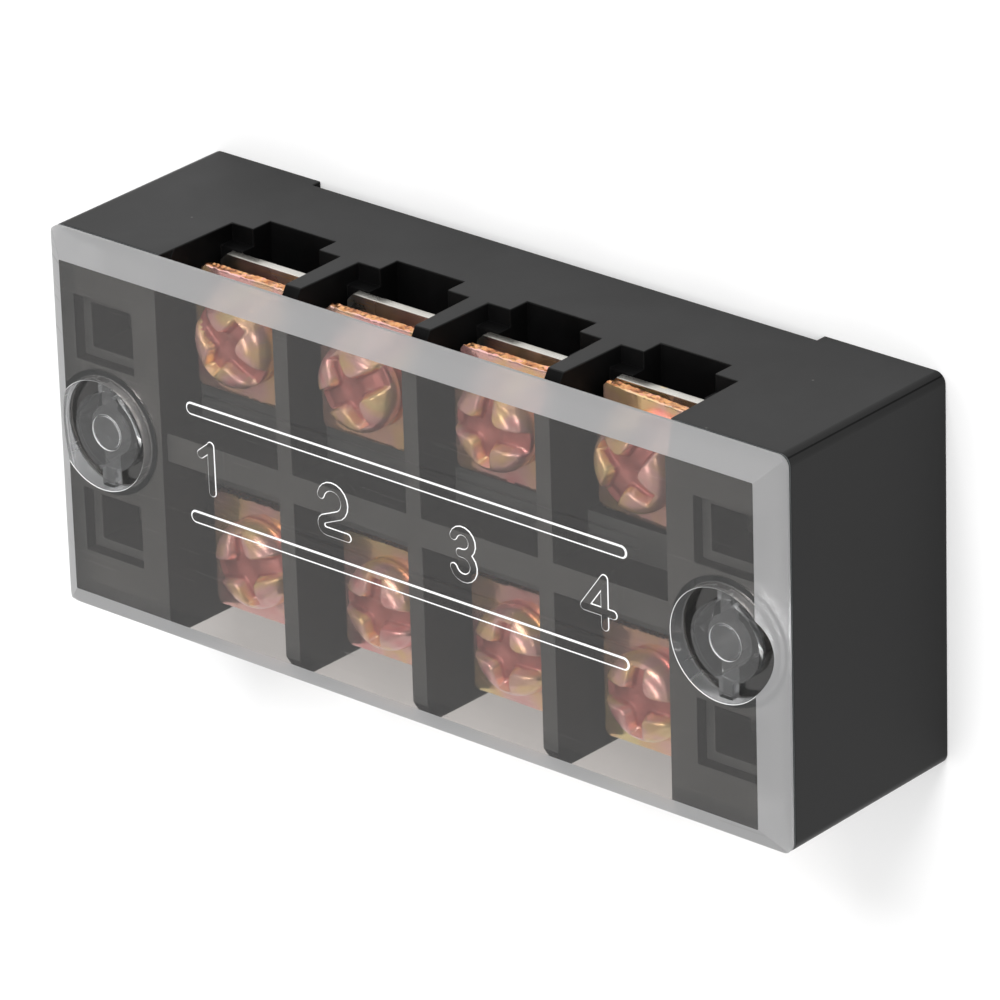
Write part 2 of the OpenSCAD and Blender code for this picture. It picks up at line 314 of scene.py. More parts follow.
scuffs = fine_scuffs()
print(scuffs.name, [item.name for item in scuffs.interface.items_tree])

# %% [markdown]
# ## Black moulding
# The base is a hard black plastic with a satin skin. It has a fine grain from the mould, patches that
# are a little glossier than others, and a few pale specks of dust. The colour stays very dark: what
# shows on black plastic is mostly the reflection of the room. One maker serves three finishes: the
# satin outside; the polished faces that look up under the cover and the bores, whose black is
# painted paler as painted light; and the insides of the wells and wire mouths, whose black is painted
# darker and duller as painted shade.

# %% Material of the base
BLACK, WORN_BLACK = (0.0045, 0.0045, 0.0047), (0.008, 0.008, 0.0078)
DECK_LIT_BLACK, DECK_LIT_WORN = (0.050, 0.056, 0.058), (0.072, 0.079, 0.081)
WELL_SHADE_BLACK = (0.0015, 0.0015, 0.0015)
DUST = (0.08, 0.077, 0.073, 1)


def black_moulding(name, gloss, roughness, black=BLACK, worn=WORN_BLACK):
    material, tree, shader = new_material(name, IOR=1.5, Specular_IOR_Level=gloss)
    skin = place_group(tree, grain, {"Fine scale": 9000.0, "Patch scale": 150.0})
    dust = place_group(tree, specks, {"Scale": 1100.0, "Size": 0.10, "Share": 0.06})
    shade = ramp(tree, [(0.3, black), (0.75, worn)])
    tint = add(tree, "ShaderNodeMixRGB", {"Color2": DUST})
    rough = add(tree, "ShaderNodeMapRange", {"To Min": roughness, "To Max": roughness * 1.5})
    bump = add(tree, "ShaderNodeBump", {"Strength": 0.35 * roughness, "Distance": 0.02 * MM})
    link(tree, skin, shade, "Patch", "Fac")
    link(tree, dust, tint, "Mask", "Fac")
    link(tree, shade, tint, 0, "Color1")
    link(tree, tint, shader, 0, "Base Color")
    link(tree, skin, rough, "Patch", "Value")
    link(tree, rough, shader, 0, "Roughness")
    link(tree, skin, bump, "Height", "Height")
    link(tree, bump, shader, 0, "Normal")
    return material


base_finish = black_moulding("black_moulding", gloss=0.17, roughness=0.34)
# faces that look up and the bores: a paler black, painted light
lit_deck_finish = black_moulding("polished_black_painted_light", gloss=0.9, roughness=0.26, black=DECK_LIT_BLACK, worn=DECK_LIT_WORN)
# insides of the wells and mouths: a darker, duller black, painted shade
shaded_well_finish = black_moulding("black_inside_painted_shade", gloss=0.06, roughness=0.4, black=WELL_SHADE_BLACK, worn=BLACK)
print(base_finish.name, lit_deck_finish.name, shaded_well_finish.name)

# %% [markdown]
# ## Chromated steel
# Screws and clamp plates are zinc-plated and dipped in chromate, which leaves a thin film. Its
# thickness drifts over the metal, so the colour drifts between rose, pink, gold and straw. A soft
# noise chooses the colour, and a broad shallow bump makes the reflections swim as they do on pressed
# sheet. The film scatters a part of the light like paint, so a head is only partly metallic, and
# keeps its colour where it mirrors only black walls. One maker serves four finishes: the
# bright face, the floor of a driver recess, painted a darker rose as painted shade, the flat of a
# plate, and the torn edge where the plate was sheared.

# %% Material of screws and clamp plates
ROSE, PINK = (0.96, 0.42, 0.42), (1.0, 0.62, 0.58)
GOLD, STRAW = (1.0, 0.68, 0.38), (0.98, 0.82, 0.42)
FILM = (ROSE, PINK, GOLD, STRAW)
# darker rose for the recess floor: painted shade
SHADE_ROSE, SHADE_PINK = (0.44, 0.16, 0.15), (0.58, 0.25, 0.23)
UMBER, COPPER, AMBER = (0.18, 0.07, 0.035), (0.56, 0.23, 0.11), (0.80, 0.43, 0.19)
BARE_STEEL = (0.72, 0.62, 0.52, 1)
FILM_FROM, FILM_SPAN = 0.30, 0.42


def chromated_steel(name, colours, patch, roughness, wobble=0.06, fine=5000.0, bite=0.12, metal=1.0):
    material, tree, shader = new_material(name, Metallic=metal)
    skin = place_group(tree, grain, {"Fine scale": fine, "Patch scale": patch})
    rubbed = place_group(tree, scuffs, {"Scale": 420.0, "Threshold": 0.75})
    places = [FILM_FROM + FILM_SPAN * i / (len(colours) - 1) for i in range(len(colours))]
    film = ramp(tree, list(zip(places, colours)))
    worn = add(tree, "ShaderNodeMixRGB", {"Color2": BARE_STEEL})
    rough = add(tree, "ShaderNodeMapRange", {"To Min": roughness * 0.7, "To Max": roughness * 1.5})
    broad = add(tree, "ShaderNodeBump", {"Strength": 1.0, "Distance": wobble * MM})
    bump = add(tree, "ShaderNodeBump", {"Strength": bite, "Distance": 0.02 * MM})
    link(tree, skin, film, "Patch", "Fac")
    link(tree, rubbed, worn, "Mask", "Fac")
    link(tree, film, worn, 0, "Color1")
    link(tree, worn, shader, 0, "Base Color")
    link(tree, skin, rough, "Height", "Value")
    link(tree, rough, shader, 0, "Roughness")
    link(tree, skin, broad, "Patch", "Height")
    link(tree, broad, bump, 0, "Normal")
    link(tree, skin, bump, "Height", "Height")
    link(tree, bump, shader, 0, "Normal")
    return material


screw_finish = chromated_steel("chromated_screw", FILM, patch=420.0, roughness=0.19, bite=0.03, metal=0.6)
# the recess floor's darker rose is painted shade
recess_shade_finish = chromated_steel("driver_recess_painted_shade", (SHADE_ROSE, SHADE_PINK), patch=500.0, roughness=0.42,
                                metal=0.6)
plate_finish = chromated_steel("chromated_plate", FILM, patch=210.0, roughness=0.13, wobble=0.10,
                               metal=0.85)
sheared_finish = chromated_steel("sheared_edge", (UMBER, COPPER, AMBER, ROSE), patch=800.0,
                                 roughness=0.26, wobble=0.14, fine=2600.0, bite=1.0)
print([m.name for m in (screw_finish, recess_shade_finish, plate_finish, sheared_finish)])

# %% [markdown]
# ## Plated contact strips
# The strips are brass with a dull nickel plating. They lie in shade and show only between the clamp
# plates and at the wire mouths, so a soft grey metal with a little drift is enough, and a few rubs
# that let the brass through.

# %% Material of the contact strips
DULL_NICKEL, CLEAN_NICKEL = (0.58, 0.56, 0.51), (0.74, 0.72, 0.68)
BARE_BRASS = (0.80, 0.68, 0.46, 1)


def plated_strip():
    material, tree, shader = new_material("plated_strip", Metallic=1.0)
    skin = place_group(tree, grain, {"Fine scale": 4000.0, "Patch scale": 260.0})
    rubbed = place_group(tree, scuffs, {"Scale": 300.0, "Threshold": 0.66})
    shade = ramp(tree, [(0.3, DULL_NICKEL), (0.7, CLEAN_NICKEL)])
    worn = add(tree, "ShaderNodeMixRGB", {"Color2": BARE_BRASS})
    rough = add(tree, "ShaderNodeMapRange", {"To Min": 0.18, "To Max": 0.36})
    link(tree, skin, shade, "Patch", "Fac")
    link(tree, rubbed, worn, "Mask", "Fac")
    link(tree, shade, worn, 0, "Color1")
    link(tree, worn, shader, 0, "Base Color")
    link(tree, skin, rough, "Patch", "Value")
    link(tree, rough, shader, 0, "Roughness")
    return material


strip_finish = plated_strip()
print(strip_finish.name)

# %% [markdown]
# ## Clear polycarbonate
# The cover refracts and reflects as real plastic does. Light that only has to reach the metal below
# would be lost in that refraction, so shadow rays go straight through. Its clear face has a brownish
# tint much darker than real polycarbonate: painted shade, which dims the floor seen through the
# wells. One maker gives the five kinds of surface that the moulding has: the polished face, the
# frosted bevel that looks pale grey, the slightly milky snap plugs, the sides of the raised marks,
# which are painted an opaque white as a painted highlight, and the hazy walls of the openings round
# the plugs.

# %% Material of the cover
def polycarbonate(name, colour, clear, roughness, rub, through):
    material, tree, shader = new_material(name, Base_Color=colour, IOR=1.5, Transmission_Weight=clear)
    rubbed = place_group(tree, scuffs, {"Scale": 90.0, "Threshold": 0.70})
    chips = place_group(tree, specks, {"Scale": 420.0, "Size": 0.09, "Share": 0.10})
    skin = place_group(tree, grain, {"Fine scale": 2500.0, "Patch scale": 70.0})
    marks = add(tree, "ShaderNodeMath", operation="MAXIMUM")
    rough = add(tree, "ShaderNodeMapRange", {"To Min": roughness, "To Max": roughness + rub})
    broad = add(tree, "ShaderNodeBump", {"Strength": 0.5, "Distance": 0.04 * MM})
    link(tree, rubbed, marks, "Mask", 0)
    link(tree, chips, marks, "Mask", 1)
    link(tree, marks, rough, 0, "Value")
    link(tree, rough, shader, 0, "Roughness")
    link(tree, skin, broad, "Patch", "Height")
    link(tree, broad, shader, 0, "Normal")
    output = tree.nodes["Material Output"]
    path = add(tree, "ShaderNodeLightPath")
    passed = add(tree, "ShaderNodeBsdfTransparent", {"Color": through})
    mix = add(tree, "ShaderNodeMixShader")
    link(tree, path, mix, "Is Shadow Ray", "Fac")
    link(tree, shader, mix, 0, 1)
    link(tree, passed, mix, 0, 2)
    link(tree, mix, output, 0, "Surface")
    return material


def even(level):
    return (level, level, level, 1)


# the brownish tint of the clear face is darker than real plastic: painted shade on the floor seen through the
# wells
polished = polycarbonate("clear_polycarbonate", (0.505, 0.475, 0.455, 1), clear=1.0, roughness=0.045,
                         rub=0.15, through=(0.95, 0.94, 0.93, 1))
frosted = polycarbonate("frosted_rim", (0.50, 0.50, 0.505, 1), clear=0.55, roughness=0.38,
                        rub=0.2, through=even(0.6))
milky = polycarbonate("milky_plug", even(0.70), clear=0.965, roughness=0.08, rub=0.1, through=even(0.7))
# opaque white for the sides of marks and broken edges: a painted highlight
painted_glint = polycarbonate("painted_glint_line", even(0.95), clear=0.0, roughness=0.5, rub=0.2, through=even(0.9))
hazy = polycarbonate("hazy_wall", (0.72, 0.73, 0.74, 1), clear=0.80, roughness=0.16,
                     rub=0.2, through=even(0.7))
print([m.name for m in (polished, frosted, milky, painted_glint, hazy)])

# %% [markdown]
# ## The base
# The moulding already has its wells, barriers, mouths and pockets. What it lacks is the small radius
# that every moulded edge has, which draws a thin pale line along the barriers. Core pins are polished
# and the outside of the mould is etched, so the bores and the faces that look up are glossier, and
# their black is painted paler as painted light. Faces inside the wells and mouths get a darker black
# as painted shade. Each face gets one of the three finishes by where it lies and which way it looks.

# %% Softened base
base_low, base_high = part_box("base")
DECK_Z = base_high.z - 5.9 * MM
BORE_REACH, SKIN, BASE_ROUND = 5 * MM, 0.2 * MM, 0.09 * MM
FACES_UP = 0.9
OUTSIDE, LIT_DECK, SHADED_INSIDE = range(3)


def is_polished_and_lit(face):
    centre = face.calc_center_median()
    in_bore = math.hypot(abs(centre.x) - EYE_X, centre.y) < BORE_REACH
    return in_bore or (centre.z > DECK_Z and face.normal.z > FACES_UP)


def is_hidden(face):
    centre = face.calc_center_median()
    inside = min(centre.x - base_low.x, base_high.x - centre.x, centre.y - base_low.y, base_high.y - centre.y)
    return inside > SKIN and face.normal.z > -FACES_UP


def moulded_base():
    form = welded_copy("base")
    count = soften(form, BASE_ROUND)
    form.normal_update()
    for face in form.faces:
        # paler black on faces that look up as painted light, darker black inside as painted shade
        face.material_index = LIT_DECK if is_polished_and_lit(face) else SHADED_INSIDE if is_hidden(face) else OUTSIDE
    finishes = [base_finish, lit_deck_finish, shaded_well_finish]
    piece = finished(form, "moulded_base", "base", "base", "black_moulding", finishes)
    return piece, count


base, softened_edges = moulded_base()
print(base.name, softened_edges, "edges rounded")

# %% [markdown]
# ## The contact strips
# Each strip is blanked from sheet, and tumbling before it is plated takes the sharpness off its edges.
# So the plain strip only needs its edges rounded. They show as a fine bright line at the wire mouths.

# %% Softened strips
STRIP_ROUND = 0.07 * MM


def contact_strip(pole):
    form = welded_copy(f"busbar_{pole}")
    soften(form, STRIP_ROUND)
    return finished(form, f"contact_strip_{pole}", f"busbar_{pole}", "base", "plated_strip", [strip_finish])


strips = [contact_strip(pole) for pole in POLES]
print(len(strips), "contact strips")

# %% [markdown]
# ## The clamp plates
# A square plate is sheared from strip and punched. Shearing leaves three bands down each side: a rolled
# upper edge, a bright band that the blade polished, and below it a torn, ragged fracture. On these thin
# plates nearly the whole side is torn. The plate is built from rings round its outline, each at its own
# height and inset, and a noise makes the torn rings wander. A bump alone couldn't do this, because the
# ragged border between the bright and the torn band shows.

# %% Outline of a plate
CLAMP_W, CLAMP_L, CLAMP_T = 9.4 * MM, 9.6 * MM, 0.9 * MM
CORNER, BORE_R, BORE_EDGE = 0.35 * MM, 2.25 * MM, 0.08 * MM
STEP = 0.12 * MM


def plate_outline():
    w, l = CLAMP_W / 2, CLAMP_L / 2
    corners = [(w, -l + CORNER), (w, l - CORNER), (w - CORNER, l), (-w + CORNER, l), (-w, l - CORNER),
               (-w, -l + CORNER), (-w + CORNER, -l), (w - CORNER, -l)]
    points = []
    for a, b in zip(corners, corners[1:] + corners[:1]):
        a, b = Vector(a), Vector(b)
        count = max(1, round((b - a).length / STEP))
        points += [a.lerp(b, i / count) for i in range(count)]
    return points


print(len(plate_outline()), "points round a plate")

# %% [markdown]
# Each band below is one ring, from the face down: how far it stands in from the outline in millimetres,
# its height as a share of the thickness, and how ragged it is. The first ones lie calm on the face and
# on the rolled edge. The ragged ones are the fracture.

# %% Rings down its side
BANDS = ((0.50, 1.00, 0.00), (0.18, 0.985, 0.03), (0.07, 0.92, 0.10), (0.01, 0.80, 0.16), (0.02, 0.64, 0.22),
         (0.08, 0.48, 0.24), (0.06, 0.30, 0.22), (0.12, 0.14, 0.14), (0.16, 0.04, 0.05), (0.20, 0.00, 0.00))
TORN_FROM = 2
WAVES, TEETH = 900, 3200


def ring_points(inset, height, ragged, seed):
    points = []
    for point in plate_outline():
        wander = noise.noise(Vector((point.x, point.y, 0)) * WAVES + Vector((seed, height * 7, 0)))
        fine = noise.noise(Vector((point.x, point.y, 0)) * TEETH + Vector((seed, height * 9, 5)))
        pull = inset + ragged * max(0.0, 0.5 + 0.6 * wander + 0.7 * fine)
        shrink = Vector((1 - pull * MM / (CLAMP_W / 2), 1 - pull * MM / (CLAMP_L / 2)))
        rise = min(1.0, max(0.0, height + ragged * (wander + 0.5 * fine)))
        points.append(Vector((point.x * shrink.x, point.y * shrink.y, rise * CLAMP_T)))
    return points


print(len(BANDS), "rings, with", len(BANDS) - 1 - TORN_FROM, "torn bands between them")

# %% Clamp plates with torn sides
def plate_place(node):
    mesh = frame["nodes"][node].data
    low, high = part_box(node)
    top = max((face for face in mesh.polygons if face.normal.z > FACES_UP), key=lambda face: face.area)
    lean = Matrix.Rotation(math.atan2(top.normal.x, top.normal.z), 4, "Y")
    return Matrix.Translation((low + high) / 2) @ lean @ Matrix.Translation((0, 0, -CLAMP_T / 2))


def clamp_plate(spot):
    seed = 10.0 * SPOTS.index(spot)
    form = bmesh.new()
    rings = [[form.verts.new(p) for p in ring_points(*band, seed)] for band in BANDS]
    angles = [math.atan2(point.y, point.x) for point in plate_outline()]
    bores = []
    for height, radius in ((CLAMP_T, BORE_R + BORE_EDGE), (CLAMP_T - BORE_EDGE, BORE_R), (0, BORE_R)):
        bores.append([form.verts.new((radius * math.cos(a), radius * math.sin(a), height)) for a in angles])
    loops = [bores[-1]] + rings[::-1] + bores[:-1] + [bores[-1]]
    for level, (lower, upper) in enumerate(zip(loops, loops[1:])):
        torn = 1 <= level < len(BANDS) - TORN_FROM
        for face in join_loops(form, lower, upper):
            face.material_index = 1 if torn else 0
    bmesh.ops.transform(form, matrix=plate_place(f"clamp_{spot}"), verts=form.verts)
    return finished(form, f"clamp_plate_{spot}", f"clamp_{spot}", f"clamp_{spot}", "chromated_steel",
                    [plate_finish, sheared_finish])


plates = [clamp_plate(spot) for spot in SPOTS]
print(len(plates), "clamp plates,", len(plates[0].data.polygons), "faces each")

# %% [markdown]
# ## The screws
# The head is struck cold from wire, so nothing on it is sharp: four rounded pads stand between a slot
# and a shorter cross, and the inner corners between them flare out. Cutting such a recess with a
# boolean leaves hard corners, so the top of the head is a fine polar grid instead, pressed down by a
# depth that depends on how far a point lies inside the recess. Where slot and cross meet, a smooth
# maximum of the two distances makes the flare.

# %% How deep the recess is at a point
HEAD_H, HEAD_R, SHOULDER, CROWN = 2.4 * MM, 3.5 * MM, 1.25 * MM, 0.25 * MM
SLOT_HALF, CROSS_HALF, CROSS_REACH, CROSS_TAPER = 0.78 * MM, 0.78 * MM, 2.65 * MM, 0.10
SLOT_DEEP, PIT_DEEP, PIT_R, FLARE = 1.02 * MM, 0.22 * MM, 1.4 * MM, 0.7 * MM
WALL, WALL_SHARE = 0.45 * MM, 0.45


def smooth_step(value):
    value = min(1.0, max(0.0, value))
    return value * value * (3 - 2 * value)


def recess_depth(along, across):
    slot = SLOT_HALF - abs(across)
    cross = min(CROSS_HALF - CROSS_TAPER * abs(across) - abs(along), CROSS_REACH - abs(across))
    near = max(FLARE - abs(slot - cross), 0) / FLARE
    inside = max(slot, cross) + near * near * FLARE / 4
    pit = smooth_step(1 - math.hypot(along, across) / PIT_R)
    return smooth_step(inside / WALL + WALL_SHARE) * SLOT_DEEP + pit * PIT_DEEP


print("recess", round(recess_depth(0, 0) / MM, 2), "mm deep in the middle")

# %% The head as a polar grid
AROUND, RINGS, BEND_RINGS = 160, 36, 10
FOOT_EDGE, RECESS_LOWEST, FLOOR_FROM = 0.06 * MM, 0.3 * MM, 0.62
THREAD_R, ROOT_R, PITCH = 2.0 * MM, 1.6 * MM, 0.7 * MM


def around(x, y, radius, angle, z):
    return (x + radius * math.cos(angle), y + radius * math.sin(angle), z)


def head_profile():
    flat = HEAD_R - SHOULDER
    rings = [(flat * i / RINGS, HEAD_H - CROWN * (i / RINGS) ** 2) for i in range(RINGS + 1)]
    start = math.atan(2 * CROWN / flat)
    bend = SHOULDER / (1 - math.sin(start))
    for i in range(1, BEND_RINGS + 1):
        turn = start + (math.pi / 2 - start) * i / BEND_RINGS
        rings.append((flat + bend * (math.sin(turn) - math.sin(start)),
                      HEAD_H - CROWN - bend * (math.cos(start) - math.cos(turn))))
    return rings


def add_head(form, x, y, seat, angle):
    turns = [math.tau * j / AROUND for j in range(AROUND)]
    floor_z = HEAD_H - SLOT_DEEP - PIT_DEEP - CROWN
    rings, pads = [], []
    for radius, height in head_profile():
        row, depths = [], []
        for a in turns if radius > 0 else turns[:1]:
            depth = recess_depth(radius * math.cos(a - angle), radius * math.sin(a - angle))
            sunk = max(height - depth, floor_z, RECESS_LOWEST)
            row.append(form.verts.new(around(x, y, radius, a, seat + min(height, sunk))))
            depths.append(depth)
        rings.append(row)
        pads.append(depths)
    for radius, height in ((HEAD_R, FOOT_EDGE), (HEAD_R - FOOT_EDGE, 0.0), (THREAD_R, 0.0)):
        rings.append([form.verts.new(around(x, y, radius, a, seat + height)) for a in turns])
        pads.append([0.0] * AROUND)
    for inner, outer, depths in zip(rings, rings[1:], pads[1:]):
        for face, depth in zip(join_loops(form, inner, outer, downward=True), depths):
            # faces deep in the recess take the darker finish, painted shade
            face.material_index = 1 if depth > FLOOR_FROM * SLOT_DEEP else 0


print("a head has", len(head_profile()), "rings of", AROUND, "points")

# %% A threaded shank
ROUND, PER_PITCH = 40, 6
TIP_R, CREST = 1.45 * MM, 1.15


def thread_radius(height, angle, length):
    phase = (height / PITCH - angle / math.tau) % 1.0
    ridge = 1 - abs(2 * phase - 1)
    radius = ROOT_R + (THREAD_R - ROOT_R) * min(1.0, CREST * ridge)
    fade = min(1.0, max(0.0, (height - (length - PITCH)) / PITCH))
    radius = radius * (1 - fade) + THREAD_R * fade
    return min(radius, TIP_R + height)


def add_thread(form, x, y, foot, length):
    rows = []
    steps = round(length / PITCH * PER_PITCH)
    for i in range(steps + 1):
        height = length * i / steps
        turns = [math.tau * j / ROUND for j in range(ROUND)]
        rows.append([form.verts.new(around(x, y, thread_radius(height, a, length), a, foot + height))
                     for a in turns])
    for lower, upper in zip(rows, rows[1:]):
        join_loops(form, lower, upper)
    form.faces.new(rows[0][::-1])


print("thread of", round(2 * THREAD_R / MM, 2), "mm that climbs", round(PITCH / MM, 2), "mm per turn")

# %% [markdown]
# A crest of the thread climbs one pitch for each turn, anticlockwise seen from above, which makes it
# right-handed. It fades out under the head and is chamfered at the tip. Each head keeps the angle at
# which its screw was left: the direction of the slot is found from the plain screw, whose slot leaves
# the lowest points on the rim of the head.

# %% Screws with thread and recess
NEAR_RIM, SLOT_LEAST, SLOT_MOST = 0.98, 0.9 * MM, 1.2 * MM


def slot_angle(spot, x, y, top):
    mesh = frame["nodes"][f"screw_{spot}"].data
    far = [v.co for v in mesh.vertices if math.hypot(v.co.x - x, v.co.y - y) > NEAR_RIM * HEAD_R]
    cut = [v for v in far if SLOT_LEAST < top - v.z < SLOT_MOST]
    double = [2 * math.atan2(v.y - y, v.x - x) for v in cut]
    return math.atan2(sum(math.sin(a) for a in double), sum(math.cos(a) for a in double)) / 2


def threaded_screw(spot):
    low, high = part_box(f"screw_{spot}")
    x, y = (low.x + high.x) / 2, (low.y + high.y) / 2
    seat = high.z - HEAD_H
    form = bmesh.new()
    angle = slot_angle(spot, x, y, high.z)
    add_head(form, x, y, seat, angle)
    add_thread(form, x, y, low.z, seat - low.z)
    piece = finished(form, f"threaded_screw_{spot}", f"screw_{spot}", f"screw_{spot}", "chromated_steel",
                     [screw_finish, recess_shade_finish], sharp=70)
    return piece, round(math.degrees(angle))


screws = [threaded_screw(spot) for spot in SPOTS]
print("slots at", [angle for _, angle in screws], "degrees,", len(screws[0][0].data.polygons), "faces each")

# %% [markdown]
# ## The cover
# One clear moulding: a plate with a bevelled rim, two snap plugs that sit in round openings (the eyes
# in the names below), two raised bars and the pole numbers.
# The numbers are strokes of one width with round ends and sloping sides. Each stroke is a closed solid
# that dips into the plate, and an exact boolean joins it on, so that light inside the plastic meets no
# hidden wall. A texture could paint the numbers, but then they would have no sloping sides; those
# sides are painted opaque white as a painted highlight.

# %% The numerals as strokes
FACE_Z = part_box("cover")[1].z - 0.06 * MM
STROKE_FOOT, STROKE_TOP, STROKE_H, STROKE_DIP = 0.37 * MM, 0.30 * MM, 0.05 * MM, 0.15 * MM


def bow(x, y, radius, start, end, count=12):
    angles = [math.radians(start + (end - start) * i / count) for i in range(count + 1)]
    return [(x + radius * math.cos(a), y + radius * math.sin(a)) for a in angles]


STROKES = {
    1: [[(0.42, -1.85), (0.40, 1.90)], [(0.36, 1.80), (-0.62, 1.02)]],
    2: [bow(-0.05, 0.75, 1.16, 165, -55) + bow(-0.72, -1.30, 0.50, 122, 270, 6) + [(1.32, -1.80)]],
    3: [bow(-0.05, 1.03, 0.90, 160, -90) + [(-0.28, 0.13)],
        [(-0.34, 0.13)] + bow(-0.02, -0.85, 0.98, 90, -160)],
    4: [[(0.62, -1.85), (0.62, 1.90)], [(0.62, 1.90), (-1.3, -0.72)], [(-1.3, -0.72), (1.42, -0.72)]],
}
NUMERAL_X = {1: -18.8, 2: -6.4, 3: 6.1, 4: 18.7}
NUMERAL_Y = 0.35
CAP_SIDES = 8


def stroke_ring(points, half):
    ahead = [(Vector(b) - Vector(a)).normalized() for a, b in zip(points, points[1:])]
    left, right = [], []
    for i, point in enumerate(points):
        before, after = ahead[max(i - 1, 0)], ahead[min(i, len(ahead) - 1)]
        mean = (before + after).normalized()
        side = Vector((-mean.y, mean.x)) * half / max(0.5, mean.dot(after))
        left.append(Vector(point) + side)
        right.append(Vector(point) - side)

    def cap(centre, heading):
        start = math.atan2(heading.x, -heading.y)
        turns = [start - math.pi * k / CAP_SIDES for k in range(1, CAP_SIDES)]
        return [Vector(centre) + half * Vector((math.cos(a), math.sin(a))) for a in turns]

    ring = left + cap(points[-1], ahead[-1]) + right[::-1] + cap(points[0], -ahead[0])
    return ring[::-1]


print("numerals", sorted(STROKES))

# %% One stroke as a closed solid
CLEAR, FROST, MILK, GLINT_LINE, HAZE = range(5)
COVER_FINISHES = [polished, frosted, milky, painted_glint, hazy]


def cover_object(form, name):
    mesh = bpy.data.meshes.new(name)
    form.to_mesh(mesh)
    form.free()
    for material in COVER_FINISHES:
        mesh.materials.append(material)
    return bpy.data.objects.new(name, mesh)


def stroke_solid(points, x, y):
    form = bmesh.new()
    rings = []
    for half, rise in ((STROKE_FOOT, -STROKE_DIP), (STROKE_FOOT, 0.0), (STROKE_TOP, STROKE_H)):
        ring = stroke_ring(points, half / MM)
        rings.append([form.verts.new(((x + p.x) * MM, (y + p.y) * MM, FACE_Z + rise)) for p in ring])
    for lower, upper in zip(rings, rings[1:]):
        # the sloping sides take the opaque white, a painted highlight
        for face in join_loops(form, lower, upper):
            face.material_index = GLINT_LINE
    form.faces.new(rings[-1]).material_index = CLEAR
    form.faces.new(rings[0][::-1]).material_index = CLEAR
    return cover_object(form, "stroke")


def all_strokes():
    drawer = bpy.data.collections.new("strokes")
    for number, paths in STROKES.items():
        for path in paths:
            drawer.objects.link(stroke_solid(path, NUMERAL_X[number], NUMERAL_Y))
    return drawer


strokes = all_strokes()

# %% [markdown]
# A snap plug is moulded with a film a tenth of a millimetre thick round its disc, like the flash on any
# clear moulding. It is hardly seen itself, but it mirrors the room, so the gap looks grey and not black.

# %% Film round each disc
FILM_IN, FILM_OUT = 3.02 * MM, 4.47 * MM
FILM_LOW, FILM_HIGH = FACE_Z - 1.54 * MM, FACE_Z - 1.44 * MM
FILM_SIDES = 72


def film_ring(x):
    form = bmesh.new()
    turns = [math.tau * (j + 0.5) / FILM_SIDES for j in range(FILM_SIDES)]
    loops = []
    for radius, z in ((FILM_IN, FILM_LOW), (FILM_OUT, FILM_LOW), (FILM_OUT, FILM_HIGH), (FILM_IN, FILM_HIGH)):
        loops.append([form.verts.new((x + radius * math.cos(a), radius * math.sin(a), z)) for a in turns])
    for one, other in zip(loops, loops[1:] + loops[:1]):
        join_loops(form, other, one)
    bmesh.ops.recalc_face_normals(form, faces=form.faces)
    return cover_object(form, "film")


for x in (-EYE_X, EYE_X):
    strokes.objects.link(film_ring(x))

# %% [markdown]
# The cover's faces are told apart by where they lie. The sides of raised marks, the outer wall of the
# small ring on each disc and the broken edge of each opening are painted opaque white, a painted
# highlight of the light such edges catch. An opening has hazy walls down to its disc, the rest of the
# plug is milky, and the sloping rim is frosted.

# %% Which finish each face of the cover takes
cover_low, cover_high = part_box("cover")
RIM_LOW, RIM_W = FACE_Z - 1.6 * MM, 2.05 * MM
MARK_IN, MARK_OUT = 1.4 * MM, 1.6 * MM
EYE_WALL, LIP_IN, LIP_OUT, LIP_DEEP = 4.45 * MM, 4.3 * MM, 4.7 * MM, 0.1 * MM
LIP_FACE, LIP_CLEAR, DISC_DEEP = 4.62 * MM, 4.6 * MM, 2 * MM
FACE_AREA = 40 * MM * MM
LEVEL, RIM_LEVEL, STEEP = 0.99, 0.97, 0.5
BROKEN_LOW, BROKEN_HIGH = 0.2, 0.95
TOUCH = 0.01 * MM


def from_eye(point):
    return math.hypot(abs(point.x) - EYE_X, point.y)


def in_rim(point):
    beside = abs(point.x) > cover_high.x - RIM_W or abs(point.y) > cover_high.y - RIM_W
    return point.z > RIM_LOW - TOUCH and beside


def finish_of(face):
    centre, up = face.calc_center_median(), face.normal.z
    away = from_eye(centre)
    # sides of marks, small rings and broken lips take the opaque white, a painted highlight
    if centre.z > FACE_Z + TOUCH / 2:
        return GLINT_LINE if abs(up) < LEVEL else CLEAR
    if MARK_IN <= away < MARK_OUT and abs(up) < STEEP:
        return GLINT_LINE
    if away < LIP_FACE and BROKEN_LOW < up < BROKEN_HIGH and centre.z > FACE_Z - LIP_DEEP:
        return GLINT_LINE
    if away < EYE_WALL and face.calc_area() < FACE_AREA:
        return HAZE if abs(up) < STEEP and centre.z > FACE_Z - DISC_DEEP else MILK
    if in_rim(centre) and -STEEP < up < RIM_LEVEL:
        return FROST
    return CLEAR


print("rim", round(RIM_W / MM, 2), "mm wide, eyes", round(EYE_X / MM, 2), "mm from the middle")

# %% Cover with bevelled rim and numerals
LIP_ROUND, RIM_ROUND = 0.035 * MM, 0.06 * MM
STROKE_SHARP = 25


def on_eye_lip(edge):
    return all(abs(v.co.z - FACE_Z) < TOUCH and LIP_IN < from_eye(v.co) < LIP_OUT for v in edge.verts)


def on_rim(edge):
    return all(in_rim(v.co) and from_eye(v.co) >= LIP_CLEAR for v in edge.verts)


